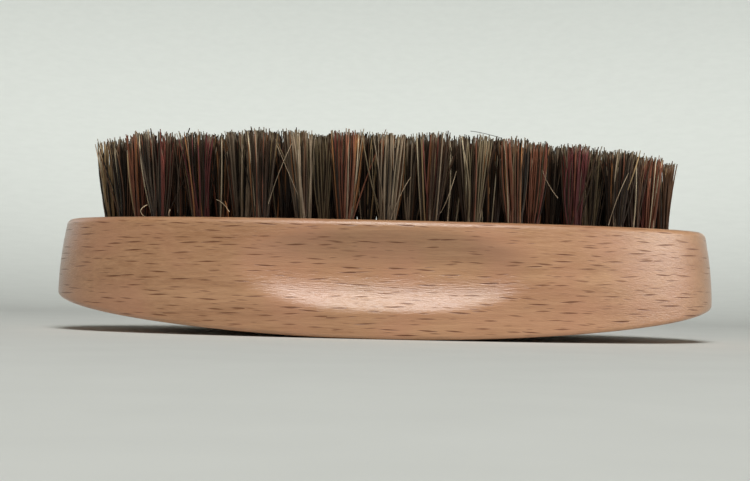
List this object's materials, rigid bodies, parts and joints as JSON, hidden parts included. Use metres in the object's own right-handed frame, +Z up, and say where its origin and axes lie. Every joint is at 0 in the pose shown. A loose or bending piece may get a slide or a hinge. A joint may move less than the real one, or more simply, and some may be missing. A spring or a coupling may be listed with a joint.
{
  "type": "beard brush",
  "caption": "Oval palm brush for a beard: solid beech body with an arched back and a finger scoop in each long side, and flaring natural bristle tufts set in blind holes.",
  "frame": {"origin": "lowest point of the arched wooden back, midway along and across the brush", "axes": "+Z up through the bristles, +X along the brush, +Y across it"},
  "size_m": [0.12, 0.05, 0.0361],
  "materials": {
    "beech": "satin lacquer over steamed beech",
    "bristle": "mixed black, brown, tan and red-brown boar bristle",
    "anchor_wire": "flattened wire, hidden in the holes"
  },
  "bodies": {
    "root": {"wooden_body": "beech", "tufts_01": "bristle", "tufts_02": "bristle", "tufts_03": "bristle", "tufts_04": "bristle", "tufts_05": "bristle", "tufts_06": "bristle", "tufts_07": "bristle", "tufts_08": "bristle", "tufts_09": "bristle", "tufts_10": "bristle", "tufts_11": "bristle", "tufts_12": "bristle", "tufts_13": "bristle", "tufts_14": "bristle", "tufts_15": "bristle", "tufts_16": "bristle", "tufts_17": "bristle", "tufts_18": "bristle", "tufts_19": "bristle", "tufts_20": "bristle", "tufts_21": "bristle", "tufts_22": "bristle", "tufts_23": "bristle", "tufts_24": "bristle", "tufts_25": "bristle", "tufts_26": "bristle", "tufts_27": "bristle", "tufts_28": "bristle", "tufts_29": "bristle", "anchors_01": "anchor_wire", "anchors_02": "anchor_wire", "anchors_03": "anchor_wire", "anchors_04": "anchor_wire", "anchors_05": "anchor_wire", "anchors_06": "anchor_wire", "anchors_07": "anchor_wire", "anchors_08": "anchor_wire", "anchors_09": "anchor_wire", "anchors_10": "anchor_wire", "anchors_11": "anchor_wire", "anchors_12": "anchor_wire", "anchors_13": "anchor_wire", "anchors_14": "anchor_wire", "anchors_15": "anchor_wire", "anchors_16": "anchor_wire", "anchors_17": "anchor_wire", "anchors_18": "anchor_wire", "anchors_19": "anchor_wire", "anchors_20": "anchor_wire", "anchors_21": "anchor_wire", "anchors_22": "anchor_wire", "anchors_23": "anchor_wire", "anchors_24": "anchor_wire", "anchors_25": "anchor_wire", "anchors_26": "anchor_wire", "anchors_27": "anchor_wire", "anchors_28": "anchor_wire", "anchors_29": "anchor_wire"}
  },
  "joints": []
}
